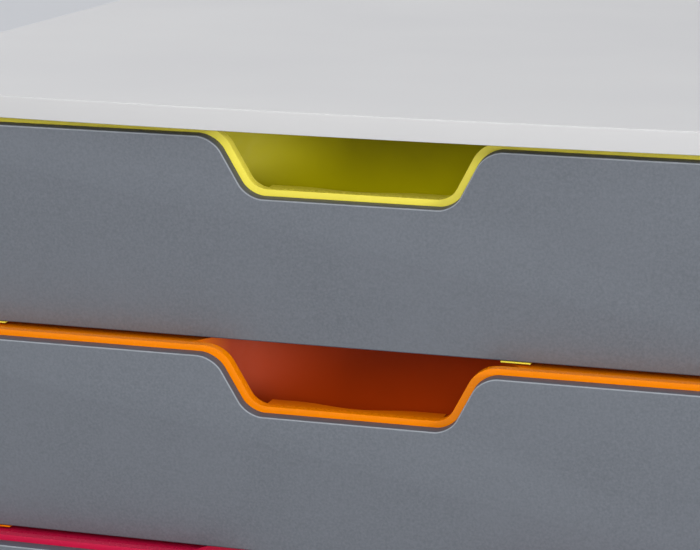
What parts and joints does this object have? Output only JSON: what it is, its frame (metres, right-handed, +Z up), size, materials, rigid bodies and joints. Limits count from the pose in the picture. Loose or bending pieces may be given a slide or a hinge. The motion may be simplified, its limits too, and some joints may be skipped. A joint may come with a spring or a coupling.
{
  "type": "desktop drawer tower",
  "caption": "Desktop paper drawer tower: bowed moulded case on rubber feet, with leaning dark fronts over coloured sliding trays, each with a finger cut-out.",
  "frame": {"origin": "on the ground under the middle of the case's box", "axes": "+Z up, -Y towards the drawers' fronts, +X to the right seen from the front"},
  "size_m": [0.28, 0.358, 0.292],
  "materials": {
    "case_plastic": "satin moulded polystyrene",
    "front_plastic": "fine-grained matte with a slight sheen",
    "foot_rubber": "matte",
    "screw_steel": "zinc plated",
    "tray_yellow": "glossy moulded polystyrene",
    "tray_orange": "glossy moulded polystyrene",
    "tray_red": "glossy moulded polystyrene",
    "tray_violet": "glossy moulded polystyrene",
    "tray_green": "glossy moulded polystyrene"
  },
  "bodies": {
    "case": {"top_cover": "case_plastic", "left_side_wall": "case_plastic", "right_side_wall": "case_plastic", "back_panel": "case_plastic", "base": "case_plastic", "foot_front_left": "foot_rubber", "foot_front_right": "foot_rubber", "foot_rear_left": "foot_rubber", "foot_rear_right": "foot_rubber", "base_screws": "screw_steel"},
    "drawer_1": {"drawer_tray_1": "tray_yellow", "drawer_pocket_1": "tray_yellow", "drawer_hooks_1": "tray_yellow", "drawer_front_1": "front_plastic"},
    "drawer_2": {"drawer_tray_2": "tray_orange", "drawer_pocket_2": "tray_orange", "drawer_hooks_2": "tray_orange", "drawer_front_2": "front_plastic"},
    "drawer_3": {"drawer_tray_3": "tray_red", "drawer_pocket_3": "tray_red", "drawer_hooks_3": "tray_red", "drawer_front_3": "front_plastic"},
    "drawer_4": {"drawer_tray_4": "tray_violet", "drawer_pocket_4": "tray_violet", "drawer_hooks_4": "tray_violet", "drawer_front_4": "front_plastic"},
    "drawer_5": {"drawer_tray_5": "tray_green", "drawer_pocket_5": "tray_green", "drawer_hooks_5": "tray_green", "drawer_front_5": "front_plastic"}
  },
  "joints": [
    {"name": "drawer_1_slide", "type": "slide", "parent": "case", "child": "drawer_1", "axis": [0, -1, 0], "range_m": [0, 0.255]},
    {"name": "drawer_2_slide", "type": "slide", "parent": "case", "child": "drawer_2", "axis": [0, -1, 0], "range_m": [0, 0.255]},
    {"name": "drawer_3_slide", "type": "slide", "parent": "case", "child": "drawer_3", "axis": [0, -1, 0], "range_m": [0, 0.255]},
    {"name": "drawer_4_slide", "type": "slide", "parent": "case", "child": "drawer_4", "axis": [0, -1, 0], "range_m": [0, 0.255]},
    {"name": "drawer_5_slide", "type": "slide", "parent": "case", "child": "drawer_5", "axis": [0, -1, 0], "range_m": [0, 0.255]}
  ]
}
